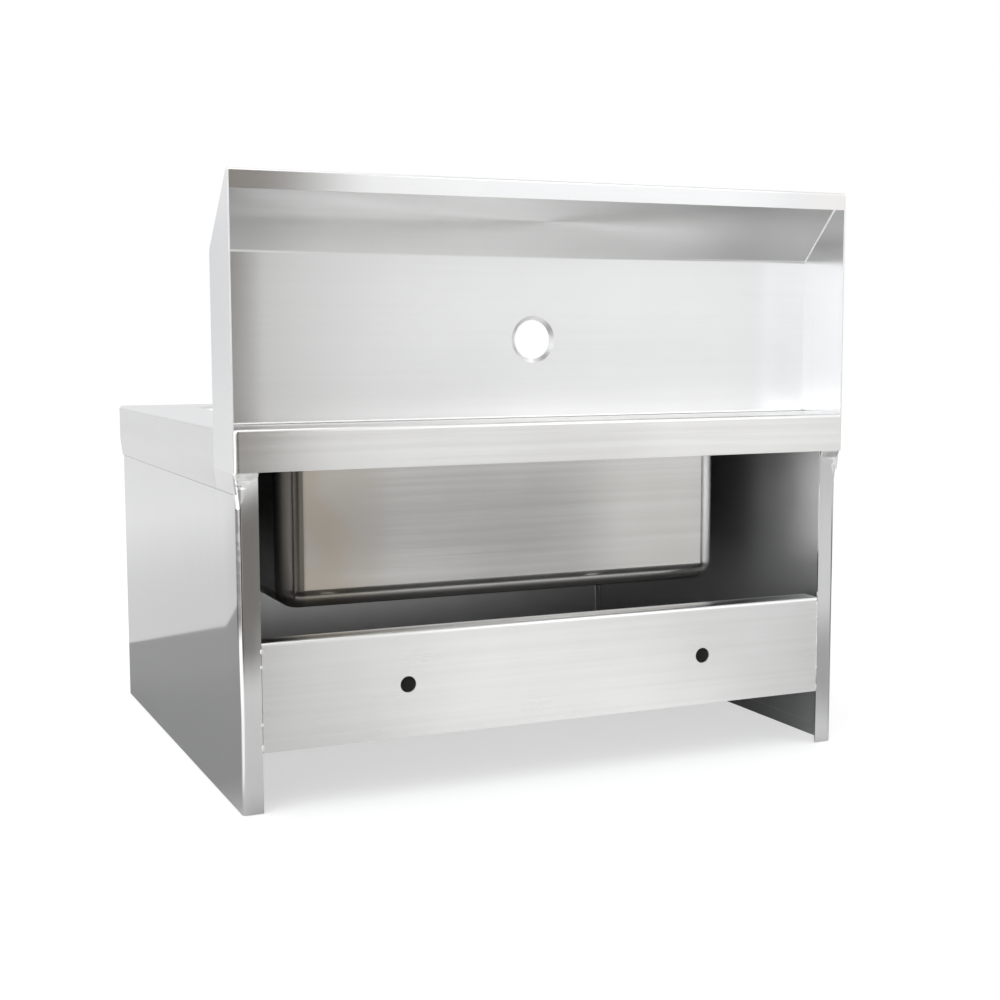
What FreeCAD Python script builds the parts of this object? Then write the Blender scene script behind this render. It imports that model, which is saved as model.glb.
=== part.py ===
import FreeCAD, Part
import math
import os

V = FreeCAD.Vector
os.makedirs("parts", exist_ok=True)

# Wall-hung hand basin in folded stainless sheet, in millimetres.
# The front faces -Y, the wall plane is the rearmost face at +Y, and the side panels stand on z = 0.

# Overall sizes
basin_width = 500.0
basin_depth = 420.0
deck_height = 270.0
splash_height = 175.0

# Sheet metal
sheet = 1.2
bend_inside = 1.8
sharp_bend_inside = 0.6
fit_gap = 0.2
corner_relief = 2.0
overrun = 5.0
pick_tolerance = 0.01

# Deck skirt: a straight fall, then a lip drawn in until it meets the panels
skirt_straight = 30.0
skirt_lip = 15.0
skirt_corner_radius = 4.0
panel_inset = 3.0

# Splash: an upright panel, a slope back to the wall and a return that hangs in the wall plane
splash_depth = 54.0
splash_crease_height = 123.0
splash_return = 13.5
tap_hole_diameter = 30.0
tap_hole_above_deck = 60.0
tap_collar_width = 3.0
tap_collar_dish = 1.5

# Ledge behind the splash and the strip that hangs from it
strip_height = 30.0
strip_hem = 8.0

# Side panels and front apron
rear_flange = 15.0
top_flange = 12.0
apron_side_flange = 8.0
panel_hem = 10.0

# Rail for the wall fixings
rail_bottom = 43.0
rail_height = 78.0
rail_flange = 18.0
rail_hole_spacing = 247.0
rail_hole_diameter = 12.0
rail_end_gap = 0.3

# Bowl, pressed and set into a rolled throat in the deck
bowl_side_margin = 59.0
bowl_front_margin = 54.0
bowl_rear_margin = 37.0
bowl_depth = 144.0
bowl_corner_radius = 17.0
bowl_floor_radius = 15.0
throat_depth = 8.0
throat_radius = 5.0
recess_top_diameter = 84.0
recess_floor_diameter = 66.0
recess_depth = 4.0
outlet_hole_diameter = 44.0

# Waste outlet
waste_flange_diameter = 62.0
waste_flange_thickness = 2.6
waste_flange_edge = 1.0
waste_dish_diameter = 46.0
waste_dish_depth = 1.2
waste_thread_diameter = 41.9
waste_neck_diameter = 40.8
waste_bore_diameter = 34.0
waste_thread_length = 6.0
crossbar_width = 3.2
crossbar_height = 2.4
washer_diameter = 60.0
top_washer_thickness = 1.5
bottom_washer_thickness = 2.0
washer_clearance = 0.4
backnut_across_flats = 56.0
backnut_thickness = 5.5
backnut_chamfer = 0.8

# Places that follow from the sizes
half_width = basin_width / 2
front_y = -basin_depth / 2
rear_y = basin_depth / 2
splash_y = rear_y - splash_depth
top_z = deck_height + splash_height
crease_z = deck_height + splash_crease_height
skirt_break_z = deck_height - skirt_straight
skirt_bottom_z = skirt_break_z - skirt_lip
lip_inset = panel_inset - sheet
panel_x = half_width - panel_inset
panel_front_y = front_y + panel_inset
panel_rear_y = rear_y - sheet - sheet
panel_top_z = deck_height - sheet - fit_gap
fold_start_z = panel_top_z - bend_inside - sheet
bowl_half_x = half_width - bowl_side_margin
bowl_front_y = front_y + bowl_front_margin
bowl_rear_y = splash_y - bowl_rear_margin
bowl_y = (bowl_front_y + bowl_rear_y) / 2
bowl_top_z = deck_height - throat_depth
bowl_floor_z = deck_height - bowl_depth
recess_floor_z = bowl_floor_z - recess_depth


def in_profile(x):
    """Places a drawn point (y, z) of a side view at this x."""
    return lambda point: V(x, point.x, point.y)


def in_plan(z):
    """Places a drawn point (x, y) of a plan view at this height."""
    return lambda point: V(point.x, point.y, z)


def corner_arc(before, corner, after, radius):
    """Start, middle and end of the arc that rounds one corner."""
    back = (before - corner).normalize()
    ahead = (after - corner).normalize()
    half_angle = back.getAngle(ahead) / 2
    reach = radius / math.tan(half_angle)
    bisector = (back + ahead).normalize()
    middle = corner + bisector * (radius / math.sin(half_angle) - radius)
    return corner + back * reach, middle, corner + ahead * reach


def rounded_loop(corners, radii, place):
    """Closed wire of straight runs joined by tangent arcs."""
    count = len(corners)
    arcs = []
    for index, radius in enumerate(radii):
        corner = corners[index]
        if radius > 0:
            arcs.append(corner_arc(corners[index - 1], corner, corners[(index + 1) % count], radius))
        else:
            arcs.append((corner, corner, corner))
    edges = []
    for index, (start, middle, end) in enumerate(arcs):
        if radii[index] > 0:
            edges.append(Part.Arc(place(start), place(middle), place(end)).toShape())
        following = arcs[(index + 1) % count][0]
        if following.distanceToPoint(end) > pick_tolerance:
            edges.append(Part.makeLine(place(end), place(following)))
    return Part.Wire(edges)


def sheet_loop(points, inside_radii, place):
    """Section of a folded sheet. The points run along its outer face, with the metal on their left."""
    outer = [V(u, v, 0) for u, v in points]
    runs = [(outer[index + 1] - outer[index]).normalize() for index in range(len(outer) - 1)]
    lefts = [V(-run.y, run.x, 0) for run in runs]
    inner = [outer[0] + lefts[0] * sheet]
    outer_radii, inner_radii = [0], [0]
    for index, inside in enumerate(inside_radii):
        before, after = lefts[index], lefts[index + 1]
        inner.append(outer[index + 1] + (before + after) * (sheet / (1 + before.dot(after))))
        turns_left = runs[index].cross(runs[index + 1]).z > 0
        outer_radii.append(inside + sheet if turns_left else inside)
        inner_radii.append(inside if turns_left else inside + sheet)
    inner.append(outer[-1] + lefts[-1] * sheet)
    outer_radii.append(0)
    inner_radii.append(0)
    return rounded_loop(outer + inner[::-1], outer_radii + inner_radii[::-1], place)


def folded_along_x(points, inside_radii, start_x, end_x):
    """Folded sheet with the side view (y, z), from one x to another."""
    face = Part.Face(sheet_loop(points, inside_radii, in_profile(start_x)))
    return face.extrude(V(end_x - start_x, 0, 0))


def folded_upwards(points, inside_radii, start_z, end_z):
    """Folded sheet with the plan view (x, y), from one height to another."""
    face = Part.Face(sheet_loop(points, inside_radii, in_plan(start_z)))
    return face.extrude(V(0, 0, end_z - start_z))


def block(low, high):
    """Box between two corners."""
    size = high - low
    return Part.makeBox(size.x, size.y, size.z, low)


def joined(shapes):
    """One solid from pieces of the same sheet, without the lines between them."""
    return shapes[0].fuse(shapes[1:]).removeSplitter()


def mirrored(shape):
    """The same piece for the other side of the basin."""
    return shape.mirror(V(0, 0, 0), V(1, 0, 0))


def edges_in(shape, low, high):
    """The edges that lie whole within a box."""
    found = []
    for edge in shape.Edges:
        box = edge.BoundBox
        above = box.XMin > low.x and box.YMin > low.y and box.ZMin > low.z
        below = box.XMax < high.x and box.YMax < high.y and box.ZMax < high.z
        if above and below:
            found.append(edge)
    return found


def save(name, shape):
    """Writes one piece as its own STEP file."""
    shape.exportStep(os.path.join("parts", name + ".step"))
    print(name, len(shape.Solids), "solid", shape.isValid(), round(shape.Volume), "mm3")


# Deck

def skirt_wire(inset, rear, z):
    """Outline of the deck with round front corners and square ends at the splash."""
    side = half_width - inset
    front = front_y + inset
    corners = [V(side, rear, 0), V(-side, rear, 0), V(-side, front, 0), V(side, front, 0)]
    radius = skirt_corner_radius - inset
    return rounded_loop(corners, [0, 0, radius, radius], in_plan(z))


def skirt_block(inset, rear, top):
    """Solid under the outline: straight sides over a drawn-in lip."""
    straight = Part.Face(skirt_wire(inset, rear, skirt_break_z)).extrude(V(0, 0, top - skirt_break_z))
    lip_top = skirt_wire(inset, rear, skirt_break_z)
    lip_bottom = skirt_wire(inset + lip_inset, rear, skirt_bottom_z)
    lip = Part.makeLoft([lip_bottom, lip_top], True, True)
    return joined([straight, lip])


def bowl_wire(grow, z):
    """Outline of the bowl opening, grown by a wall."""
    half_x = bowl_half_x + grow
    rear, front = bowl_rear_y + grow, bowl_front_y - grow
    corners = [V(half_x, front, 0), V(half_x, rear, 0), V(-half_x, rear, 0), V(-half_x, front, 0)]
    return rounded_loop(corners, [bowl_corner_radius + grow] * 4, in_plan(z))


def deck_top():
    """Deck sheet: skirt on three sides and a throat rolled down round the bowl opening."""
    outer = skirt_block(0, splash_y, deck_height)
    low = V(-half_width - overrun, front_y - overrun, deck_height - pick_tolerance)
    high = V(half_width + overrun, splash_y - pick_tolerance, deck_height + pick_tolerance)
    rear_line = splash_y - pick_tolerance
    rim = [e for e in edges_in(outer, low, V(high.x, high.y + overrun, high.z)) if e.BoundBox.YMin < rear_line]
    outer = outer.makeFillet(bend_inside + sheet, rim)

    under_z = deck_height - sheet
    hollow = skirt_block(sheet, splash_y + overrun, under_z)
    low = V(-half_width, front_y, under_z - pick_tolerance)
    high = V(half_width, splash_y + overrun + overrun, under_z + pick_tolerance)
    rim = [e for e in edges_in(hollow, low, high) if e.BoundBox.YMin < rear_line]
    hollow = hollow.makeFillet(bend_inside, rim)
    tray = outer.cut(hollow)

    throat = Part.Face(bowl_wire(sheet, bowl_top_z)).extrude(V(0, 0, throat_depth - sheet / 2))
    opening = Part.Face(bowl_wire(0, bowl_top_z - overrun)).extrude(V(0, 0, throat_depth + overrun + overrun))
    deck = tray.fuse(throat).cut(opening).removeSplitter()
    grow = sheet + pick_tolerance
    for level, radius in ((deck_height, throat_radius), (under_z, throat_radius - sheet)):
        low = V(-bowl_half_x - grow, bowl_front_y - grow, level - pick_tolerance)
        high = V(bowl_half_x + grow, bowl_rear_y + grow, level + pick_tolerance)
        deck = deck.makeFillet(radius, edges_in(deck, low, high))
    return deck


# Bowl

def bowl_form(grow, floor_z, floor_radius):
    """Basin form with round corners and a round floor edge."""
    form = Part.Face(bowl_wire(grow, floor_z)).extrude(V(0, 0, bowl_top_z - floor_z))
    low = V(-half_width, front_y, floor_z - pick_tolerance)
    high = V(half_width, rear_y, floor_z + pick_tolerance)
    return form.makeFillet(floor_radius, edges_in(form, low, high))


def bowl():
    """Pressed bowl with a dished seat round the outlet hole."""
    centre = V(0, bowl_y, recess_floor_z)
    up = V(0, 0, 1)
    recess = Part.makeCone(recess_floor_diameter / 2 + sheet, recess_top_diameter / 2 + sheet, recess_depth, centre, up)
    outer = bowl_form(sheet, bowl_floor_z, bowl_floor_radius).fuse(recess)
    inner = bowl_form(0, bowl_floor_z + sheet, bowl_floor_radius - sheet)
    dish_base = centre + V(0, 0, sheet)
    dish = Part.makeCone(recess_floor_diameter / 2, recess_top_diameter / 2, recess_depth, dish_base, up)
    hole = Part.makeCylinder(outlet_hole_diameter / 2, overrun + overrun, centre - V(0, 0, overrun), up)
    return outer.cut([inner, dish, hole]).removeSplitter()


# Splash

top_turn = math.pi / 2 + math.atan2(top_z - crease_z, splash_depth)
top_bend = sharp_bend_inside + sheet
ridge_z = top_z + top_bend * (math.tan(top_turn / 2) - 1)


def splash_panel():
    """Upright panel with the tap hole, slope, ridge and return, folded from one sheet. The rim of the hole is
    pressed forwards, so the collar stands proud of the front face and is hollow behind."""
    outer_line = [(rear_y, top_z - splash_return), (rear_y, ridge_z), (splash_y, crease_z),
                  (splash_y, deck_height - sheet)]
    inner_half = half_width - sheet
    panel = folded_along_x(outer_line, [sharp_bend_inside, bend_inside], -inner_half, inner_half)
    hole_z = deck_height + tap_hole_above_deck
    hole_r = tap_hole_diameter / 2
    collar_r = hole_r + tap_collar_width
    toward_front = V(0, -1, 0)
    rear_centre = V(0, splash_y + sheet, hole_z)
    seat = Part.makeCylinder(collar_r, sheet, rear_centre, toward_front)
    dished = Part.makeCone(collar_r, hole_r, tap_collar_dish, rear_centre, toward_front)
    collar = dished.copy()
    collar.translate(V(0, -sheet, 0))
    collar = collar.fuse(seat).cut(dished)
    through = Part.makeCylinder(hole_r, sheet + tap_collar_dish + overrun + overrun,
                                rear_centre + V(0, overrun, 0), toward_front)
    return panel.cut(dished).fuse(collar).cut(through).removeSplitter()


def splash_end(name_side):
    """Pointed end plate, with the same drawn-in lip as the skirt below it."""
    outline = [V(rear_y, skirt_break_z, 0), V(rear_y, ridge_z, 0), V(splash_y, crease_z, 0),
               V(splash_y, skirt_break_z, 0)]
    inner_half = half_width - sheet
    loop = rounded_loop(outline, [0, top_bend, bend_inside + sheet, 0], in_profile(inner_half))
    plate = Part.Face(loop).extrude(V(sheet, 0, 0))
    lip_ends = []
    for inset, z in ((lip_inset, skirt_bottom_z), (0, skirt_break_z)):
        low, high = inner_half - inset, half_width - inset
        corners = [V(low, splash_y, z), V(high, splash_y, z), V(high, panel_rear_y, z), V(low, panel_rear_y, z)]
        lip_ends.append(Part.makePolygon(corners + corners[:1]))
    plate = joined([plate, Part.makeLoft(lip_ends, True, True)])
    return plate if name_side == "right" else mirrored(plate)


# Ledge and strip

def rear_ledge():
    """Level ledge behind the splash, folded down into the strip that meets the wall."""
    strip_bottom = deck_height - strip_height
    outer_line = [(rear_y, strip_bottom), (rear_y, deck_height), (splash_y + sheet + fit_gap, deck_height)]
    inner_half = half_width - sheet
    ledge = folded_along_x(outer_line, [bend_inside], -inner_half, inner_half)
    hem_face = rear_y - sheet
    hem = block(V(-inner_half, hem_face - sheet, strip_bottom), V(inner_half, hem_face, strip_bottom + strip_hem))
    return joined([ledge, hem])


# Body panels

def side_panel(name_side):
    """Side sheet with a rear flange, a top flange under the deck and a hemmed bottom edge."""
    plan = [(panel_x, panel_front_y), (panel_x, panel_rear_y), (panel_x - rear_flange, panel_rear_y)]
    wall = folded_upwards(plan, [bend_inside], 0, fold_start_z)
    fold = [(panel_x, fold_start_z), (panel_x, panel_top_z), (panel_x - top_flange, panel_top_z)]
    start = panel_front_y + top_flange + corner_relief
    end = panel_rear_y - bend_inside - sheet - corner_relief
    face = Part.Face(sheet_loop(fold, [bend_inside], lambda point: V(point.x, start, point.y)))
    flange = face.extrude(V(0, end - start, 0))
    inner_x = panel_x - sheet
    hem_start = panel_front_y + apron_side_flange + corner_relief
    hem = block(V(inner_x - sheet, hem_start, 0), V(inner_x, end, panel_hem))
    panel = joined([wall, flange, hem])
    return panel if name_side == "right" else mirrored(panel)


def front_apron():
    """Front sheet between the side panels, flanged on three edges and hemmed at the bottom."""
    inner_x = panel_x - sheet
    flange_y = panel_front_y + apron_side_flange
    plan = [(-inner_x, flange_y), (-inner_x, panel_front_y), (inner_x, panel_front_y), (inner_x, flange_y)]
    wall = folded_upwards(plan, [bend_inside, bend_inside], 0, fold_start_z)
    fold = [(panel_front_y + top_flange, panel_top_z), (panel_front_y, panel_top_z), (panel_front_y, fold_start_z)]
    reach = inner_x - bend_inside - sheet - corner_relief
    flange = folded_along_x(fold, [bend_inside], -reach, reach)
    hem_y = panel_front_y + sheet
    hem = block(V(-reach, hem_y, 0), V(reach, hem_y + sheet, panel_hem))
    return joined([wall, flange, hem])


def rear_mounting_rail():
    """Angle rail between the rear flanges, with the two wall-fixing holes."""
    rail_top = rail_bottom + rail_height
    outer_line = [(panel_rear_y, rail_bottom), (panel_rear_y, rail_top), (panel_rear_y - rail_flange, rail_top)]
    reach = panel_x - rear_flange - rail_end_gap
    rail = folded_along_x(outer_line, [bend_inside], -reach, reach)
    holes = []
    for side in (-1, 1):
        start = V(side * rail_hole_spacing / 2, panel_rear_y - sheet - overrun, rail_bottom + rail_height / 2)
        holes.append(Part.makeCylinder(rail_hole_diameter / 2, sheet + overrun + overrun, start, V(0, 1, 0)))
    return rail.cut(holes)


# Waste outlet

up = V(0, 0, 1)
seat_z = recess_floor_z + sheet
flange_z = seat_z + top_washer_thickness
nut_top_z = recess_floor_z - bottom_washer_thickness
thread_top_z = nut_top_z - backnut_thickness


def ring(outer_diameter, inner_diameter, z, thickness):
    """Flat ring on the outlet's axis."""
    centre = V(0, bowl_y, z)
    disc = Part.makeCylinder(outer_diameter / 2, thickness, centre, up)
    return disc.cut(Part.makeCylinder(inner_diameter / 2, thickness, centre, up))


def waste_body():
    """Flanged outlet with crossed bars over its bore, a neck and a threaded tail."""
    centre = V(0, bowl_y, flange_z)
    flange = Part.makeCylinder(waste_flange_diameter / 2, waste_flange_thickness, centre, up)
    flange_top = flange_z + waste_flange_thickness
    low = V(-waste_flange_diameter, bowl_y - waste_flange_diameter, flange_top - pick_tolerance)
    high = V(waste_flange_diameter, bowl_y + waste_flange_diameter, flange_top + pick_tolerance)
    flange = flange.makeChamfer(waste_flange_edge, edges_in(flange, low, high))
    neck_base = V(0, bowl_y, thread_top_z)
    neck = Part.makeCylinder(waste_neck_diameter / 2, flange_z - thread_top_z, neck_base, up)
    tail_base = neck_base - V(0, 0, waste_thread_length)
    tail = Part.makeCylinder(waste_thread_diameter / 2, waste_thread_length, tail_base, up)
    body = flange.fuse([neck, tail])
    dish_base = V(0, bowl_y, flange_top - waste_dish_depth)
    dish = Part.makeCone(waste_bore_diameter / 2, waste_dish_diameter / 2, waste_dish_depth, dish_base, up)
    bore_length = dish_base.z - tail_base.z
    bore = Part.makeCylinder(waste_bore_diameter / 2, bore_length, tail_base, up)
    reach = (waste_bore_diameter + waste_neck_diameter) / 4
    half_bar = crossbar_width / 2
    bars = []
    for half_x, half_y in ((reach, half_bar), (half_bar, reach)):
        low = V(-half_x, bowl_y - half_y, dish_base.z - crossbar_height)
        bars.append(block(low, V(half_x, bowl_y + half_y, dish_base.z)))
    return body.cut([dish, bore]).fuse(bars).removeSplitter()


def waste_backnut():
    """Hexagon nut that clamps the outlet to the bowl, with its corners turned off."""
    across_corners = backnut_across_flats / math.cos(math.pi / 6)
    base = V(0, bowl_y, thread_top_z)
    points = [base + V(math.cos(turn * math.pi / 3), math.sin(turn * math.pi / 3), 0) * (across_corners / 2)
              for turn in range(7)]
    nut = Part.Face(Part.makePolygon(points)).extrude(V(0, 0, backnut_thickness))
    turned = Part.makeCylinder(across_corners / 2, backnut_thickness, base, up)
    turned = turned.makeChamfer(backnut_chamfer, turned.Edges[0:1] + turned.Edges[2:3])
    bore = Part.makeCylinder(waste_neck_diameter / 2 + fit_gap, backnut_thickness, base, up)
    return nut.common(turned).cut(bore)


washer_bore = waste_neck_diameter + washer_clearance + washer_clearance

save("deck_top", deck_top())
save("bowl", bowl())
save("splash_panel", splash_panel())
save("splash_end_left", splash_end("left"))
save("splash_end_right", splash_end("right"))
save("rear_ledge", rear_ledge())
save("side_panel_left", side_panel("left"))
save("side_panel_right", side_panel("right"))
save("front_apron", front_apron())
save("rear_mounting_rail", rear_mounting_rail())
save("waste_body", waste_body())
save("waste_top_washer", ring(washer_diameter, washer_bore, seat_z, top_washer_thickness))
save("waste_bottom_washer", ring(washer_diameter, washer_bore, nut_top_z, bottom_washer_thickness))
save("waste_backnut", waste_backnut())
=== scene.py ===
# %% [markdown]
# # A wall-hung hand basin in brushed stainless steel
# The basin is folded and welded from 1.2 mm sheet, and seen from the wall side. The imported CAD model
# already holds every fold, panel and hole, so this notebook adds what a model of the construction leaves
# out: the grain of the sheet, the welds where the sheets meet, and the studio that steel needs to look like
# steel.

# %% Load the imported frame
import math

import bpy
import numpy as np
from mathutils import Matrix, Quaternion, Vector


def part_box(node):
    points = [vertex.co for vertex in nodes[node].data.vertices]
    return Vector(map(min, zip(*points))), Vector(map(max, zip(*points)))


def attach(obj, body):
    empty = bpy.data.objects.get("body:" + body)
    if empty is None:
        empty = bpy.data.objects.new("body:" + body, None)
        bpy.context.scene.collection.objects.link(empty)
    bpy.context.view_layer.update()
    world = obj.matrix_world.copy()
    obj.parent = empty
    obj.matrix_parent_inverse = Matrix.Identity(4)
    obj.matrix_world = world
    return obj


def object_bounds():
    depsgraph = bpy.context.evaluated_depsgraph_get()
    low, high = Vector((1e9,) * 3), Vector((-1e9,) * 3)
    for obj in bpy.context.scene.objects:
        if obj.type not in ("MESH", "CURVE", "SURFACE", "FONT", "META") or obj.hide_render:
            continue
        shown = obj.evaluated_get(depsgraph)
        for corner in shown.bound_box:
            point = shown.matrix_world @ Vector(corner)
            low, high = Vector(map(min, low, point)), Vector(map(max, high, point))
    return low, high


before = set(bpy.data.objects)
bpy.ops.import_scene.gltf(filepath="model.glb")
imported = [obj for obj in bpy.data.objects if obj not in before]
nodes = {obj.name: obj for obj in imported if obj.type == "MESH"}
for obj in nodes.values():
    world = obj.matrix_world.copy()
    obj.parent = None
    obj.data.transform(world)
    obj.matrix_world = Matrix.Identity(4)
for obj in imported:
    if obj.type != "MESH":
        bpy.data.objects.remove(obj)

mm = 0.001
cad_low, cad_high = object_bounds()
print("nodes:", ", ".join(sorted(nodes)))
print("CAD box in mm:", [round((high - low) / mm, 1) for low, high in zip(cad_low, cad_high)])

# %% [markdown]
# ## Camera
# A camera is a place, a direction, a small roll and a lens. It could be set by eye, but these were worked
# out by laying the known edges of the basin over the photograph, so the perspective is right before any
# surface is judged.

# %% Camera
camera_place = Vector((0.51055, 1.24392, 0.33167))
camera_direction = Vector((-0.40351, -0.909024, -0.104191))
camera_roll = -0.00263
camera_lens = 55.91
camera_sensor = 36.0

camera_data = bpy.data.cameras.new("camera")
camera_data.lens = camera_lens
camera_data.sensor_width = camera_sensor
camera = bpy.data.objects.new("camera", camera_data)
bpy.context.scene.collection.objects.link(camera)
camera.rotation_mode = "QUATERNION"
camera.location = camera_place
camera.rotation_quaternion = camera_direction.to_track_quat("-Z", "Y") @ Quaternion((0, 0, 1), camera_roll)
bpy.context.scene.camera = camera
print("camera at", [round(value, 3) for value in camera_place], "lens", camera_lens)

# %% [markdown]
# ## Shader maths as Python
# A node tree is easier to read as an expression. `Value` wraps an output socket, and adding or multiplying
# two of them adds a Math node. `Shading` makes every other node with one method: type, settings, then
# sockets. `Finish` is a shading tree that ends in one Principled shader.

# %% Sockets as numbers
class Value:
    """An output socket that can be used in sums; each sum adds one Math node to the tree."""

    def __init__(self, tree, socket):
        self.tree, self.socket = tree, socket

    def math(self, operation, first, second=None):
        """One Math node, fed by values or plain numbers."""
        node = self.tree.nodes.new("ShaderNodeMath")
        node.operation = operation
        for slot, item in zip(node.inputs, (first, second)):
            if isinstance(item, Value):
                self.tree.links.new(item.socket, slot)
            elif item is not None:
                slot.default_value = item
        return Value(self.tree, node.outputs[0])

    def at_least(self, other):
        """The larger of the two."""
        return self.math("MAXIMUM", self, other)

    def bearing(self, ahead):
        """The angle, in radians, of a point this far aside and that far ahead."""
        return self.math("ARCTAN2", self, ahead)

    def __add__(self, other):
        return self.math("ADD", self, other)

    def __sub__(self, other):
        return self.math("SUBTRACT", self, other)

    def __rsub__(self, other):
        return self.math("SUBTRACT", other, self)

    def __mul__(self, other):
        return self.math("MULTIPLY", self, other)

    def __truediv__(self, other):
        return self.math("DIVIDE", self, other)

    def __pow__(self, other):
        return self.math("POWER", self, other)

    def __gt__(self, other):
        return self.math("GREATER_THAN", self, other)

    def __lt__(self, other):
        return self.math("LESS_THAN", self, other)

    def __abs__(self):
        return self.math("ABSOLUTE", self)

    __radd__, __rmul__ = __add__, __mul__


# %% Node trees
class Shading:
    """A node tree with helpers that add nodes to it."""

    def __init__(self, tree):
        self.tree = tree

    def node(self, kind, settings=None, sockets=None, output=0):
        """Adds a node, first its settings, then its sockets, and gives back one output."""
        node = self.tree.nodes.new(kind)
        for name, value in (settings or {}).items():
            setattr(node, name, value)
        for name, value in (sockets or {}).items():
            if isinstance(value, Value):
                self.tree.links.new(value.socket, node.inputs[name])
            else:
                node.inputs[name].default_value = value
        return Value(self.tree, node.outputs[output])

    def axes(self, vector):
        """The three numbers of a vector."""
        return [self.node("ShaderNodeSeparateXYZ", {}, {"Vector": vector}, output=axis) for axis in range(3)]

    def joined(self, first, second, third=0.0):
        """Three numbers as one vector or colour."""
        return self.node("ShaderNodeCombineXYZ", {}, {"X": first, "Y": second, "Z": third})

    def seen_by_camera(self):
        """1 for what the camera sees directly, 0 for what light or a reflection meets."""
        return self.node("ShaderNodeLightPath", output=0)

    def noise(self, place, scale, detail=2.0, roughness=0.5):
        """Smooth noise between 0 and 1 at these coordinates."""
        return self.node("ShaderNodeTexNoise", {"noise_dimensions": "3D"},
                         {"Vector": place, "Scale": scale, "Detail": detail, "Roughness": roughness})

    def stretched(self, place, scale):
        """The same coordinates, scaled by a different number on each axis."""
        return self.node("ShaderNodeMapping", {"vector_type": "POINT"}, {"Vector": place, "Scale": scale})

    def ease(self, value, start, end, low=0.0, high=1.0):
        """Goes from low to high in a soft step while the value goes from start to end."""
        return self.node("ShaderNodeMapRange", {"interpolation_type": "SMOOTHSTEP"},
                         {"Value": value, "From Min": start, "From Max": end, "To Min": low, "To Max": high})

    def fade(self, value, start, end):
        """Goes from 1 to 0 in a soft step while the value goes from start to end."""
        return self.ease(value, start, end, 1.0, 0.0)

    def band(self, value, rise, fall):
        """1 between two soft edges and 0 outside them: the step up times the step down."""
        return self.ease(value, *rise) * self.fade(value, *fall)

    def blend(self, factor, first, second):
        """A colour between two others."""
        node = self.tree.nodes.new("ShaderNodeMix")
        node.data_type = "RGBA"
        self.tree.links.new(factor.socket, node.inputs[0])
        for slot, item in ((node.inputs[6], first), (node.inputs[7], second)):
            if isinstance(item, Value):
                self.tree.links.new(item.socket, slot)
            else:
                slot.default_value = (*item, 1)
        return Value(self.tree, node.outputs[2])


# %% Materials
class Finish(Shading):
    """A material under construction, with one Principled shader. Constants keep their own sockets."""

    def __init__(self, name, **constants):
        self.material = bpy.data.materials.new(name)
        self.material.use_nodes = True
        super().__init__(self.material.node_tree)
        self.tree.nodes.clear()
        self.shader = self.tree.nodes.new("ShaderNodeBsdfPrincipled")
        for socket, value in constants.items():
            self.shader.inputs[socket.replace("_", " ")].default_value = value
        output = self.tree.nodes.new("ShaderNodeOutputMaterial")
        self.tree.links.new(self.shader.outputs[0], output.inputs["Surface"])
        self.place = self.node("ShaderNodeTexCoord", output=3)

    def feed(self, **values):
        """Links values to the shader's sockets, whose spaces are written as underscores."""
        for name, value in values.items():
            self.tree.links.new(value.socket, self.shader.inputs[name.replace("_", " ")])

    def outward(self):
        """The three numbers of the direction that the surface faces."""
        return self.axes(self.node("ShaderNodeNewGeometry", output=1))

    def bump(self, height, depth, strength=0.4):
        """Small relief from a height between 0 and 1, this many metres deep."""
        return self.node("ShaderNodeBump", {}, {"Height": height, "Strength": strength, "Distance": depth})


# %% [markdown]
# ## Brushed stainless sheet
# Brushing leaves thousands of fine parallel scratches. Seen close they are streaks; seen from a step away
# they spread each reflection across the grain. A photograph of steel could be laid over the sheet, but it
# would repeat and show its own room. So both are made here: noise stretched along the grain moves the
# colour, the roughness and a very shallow bump, and the shader's own anisotropy spreads the highlights.
# Wider, fainter bands come from the belt's uneven pressure, and a soft noise stands for handling marks. The
# grain runs level on the splash, strip and rail and upright on the side panels, as the sheets were cut.

# %% Grain
grain_length = 0.16
grain_pitch = 0.6 * mm
grain_depth = 0.004 * mm
band_length = 0.30
band_pitch = 4.5 * mm
patch_size = 0.09
directions = {"level_x": (1, 0, 0), "upright": (0, 0, 1), "round": (1, 1, 0)}


def grain_scale(direction, length, pitch):
    """Noise scale for each axis: one over the length along the grain, one over the pitch across it."""
    return tuple(1 / length if along else 1 / pitch for along in directions[direction])


def grain(finish, direction):
    """Fine streaks, wide bands and patches, each between 0 and 1."""
    along_streaks = finish.stretched(finish.place, grain_scale(direction, grain_length, grain_pitch))
    along_bands = finish.stretched(finish.place, grain_scale(direction, band_length, band_pitch))
    patches = finish.noise(finish.place, 1 / patch_size)
    return finish.noise(along_streaks, 1.0), finish.noise(along_bands, 1.0), patches


def grain_on_all_sides(finish):
    """Streaks that run round upright walls and along X on level ones, picked by the surface's own tilt."""
    around, along = grain(finish, "round"), grain(finish, "level_x")
    level_from, level_to = 0.5, 0.8
    level = finish.ease(abs(finish.outward()[2]), level_from, level_to)
    mixed = [first + level * (second - first) for first, second in zip(around[:2], along[:2])]
    return mixed[0], mixed[1], around[2]


def marks_of(direction):
    """The grain function of one direction."""
    return lambda finish: grain(finish, direction)


# %% Steel finishes
streaks_from, streaks_to = 0.36, 0.64


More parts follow.
